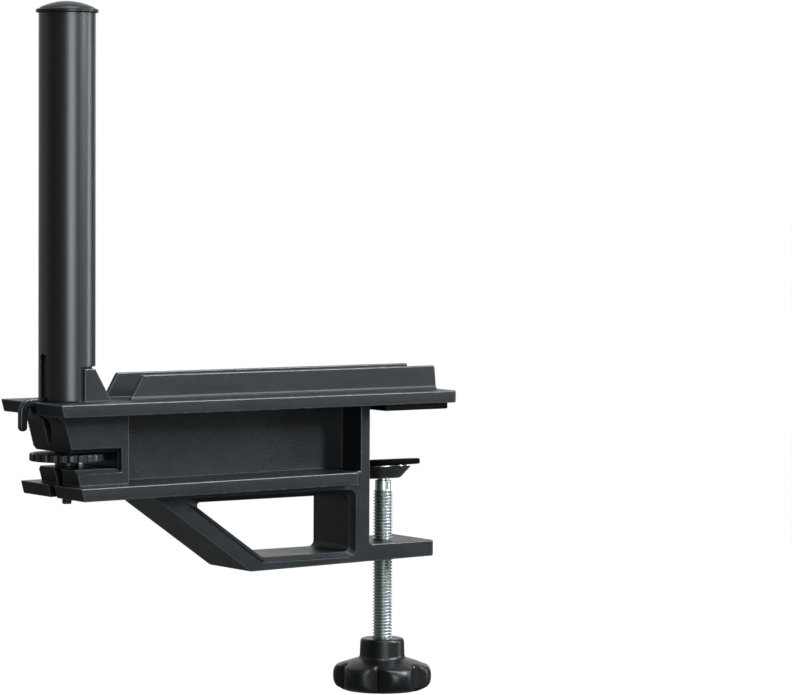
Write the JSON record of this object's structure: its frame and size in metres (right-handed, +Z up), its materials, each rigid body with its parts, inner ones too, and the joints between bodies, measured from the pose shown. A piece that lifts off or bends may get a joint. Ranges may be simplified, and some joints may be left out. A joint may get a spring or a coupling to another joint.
{
  "type": "table tennis net clamp",
  "caption": "Black bracket that clamps to the edge of a table with a screw and star knob, and carries a tubular net post with a height wheel and cord hook.",
  "frame": {"origin": "the table's top edge at the clamp's middle: on the stop face, at the height of the upper jaw's rubber", "axes": "+X in over the table, +Y along the table's edge, +Z up along the net post"},
  "size_m": [0.1836, 0.0456, 0.267],
  "materials": {
    "body_plastic": "black moulded plastic with a fine spark-eroded grain",
    "pad_rubber": "black rubber sheet",
    "dark_steel": "blackened steel",
    "hook_plastic": "black plastic, smooth",
    "wheel_plastic": "black plastic, worn on the notches",
    "zinc_steel": "zinc plated",
    "tube_paint": "black powder coat, satin",
    "cap_plastic": "black plastic, satin",
    "plug_plastic": "black plastic",
    "screw_zinc": "bright zinc plate, rolled thread",
    "knob_plastic": "black plastic, polished by use",
    "cup_steel": "dull phosphated steel",
    "disc_rubber": "black rubber, smooth edge"
  },
  "bodies": {
    "bracket": {"clamp_body": "body_plastic", "jaw_pad": "pad_rubber", "jaw_bush": "dark_steel", "cord_hook": "hook_plastic", "wheel_washers": "zinc_steel"},
    "wheel": {"thumbwheel": "wheel_plastic", "wheel_nut": "zinc_steel"},
    "post": {"post_tube": "tube_paint", "post_cap": "cap_plastic", "post_plug": "plug_plastic", "plug_nut": "zinc_steel", "height_screw": "zinc_steel"},
    "tip": {"retaining_ring": "zinc_steel"},
    "screw": {"clamp_screw": "screw_zinc", "knob": "knob_plastic", "knob_cap": "knob_plastic"},
    "pad": {"pressure_cup": "cup_steel", "pad_plate": "screw_zinc", "pressure_disc": "disc_rubber"}
  },
  "joints": [
    {"name": "wheel_spin", "type": "hinge", "parent": "bracket", "child": "wheel", "pos_m": [-0.1272, 0, -0.0138], "axis": [0, 0, -1], "range_deg": [0, 4114.3]},
    {"name": "post_lift", "type": "slide", "parent": "bracket", "child": "post", "axis": [0, 0, 1], "range_m": [0, 0.008]},
    {"name": "screw_travel", "type": "slide", "parent": "bracket", "child": "tip", "axis": [0, 0, 1], "range_m": [-0.022, 0.019]},
    {"name": "screw_spin", "type": "hinge", "parent": "tip", "child": "screw", "pos_m": [0.0161, 0, -0.06], "axis": [0, 0, 1], "range_deg": [-6336, 5472]},
    {"name": "pad_tilt", "type": "hinge", "parent": "tip", "child": "pad", "pos_m": [0.0161, 0, -0.02775], "axis": [1, 0, 0], "range_deg": [0, 9.6]}
  ],
  "couplings": [
    {"joint": "wheel_spin", "follows": "post_lift", "rad_per_m": 8976},
    {"joint": "screw_spin", "follows": "screw_travel", "rad_per_m": 5026.5}
  ]
}
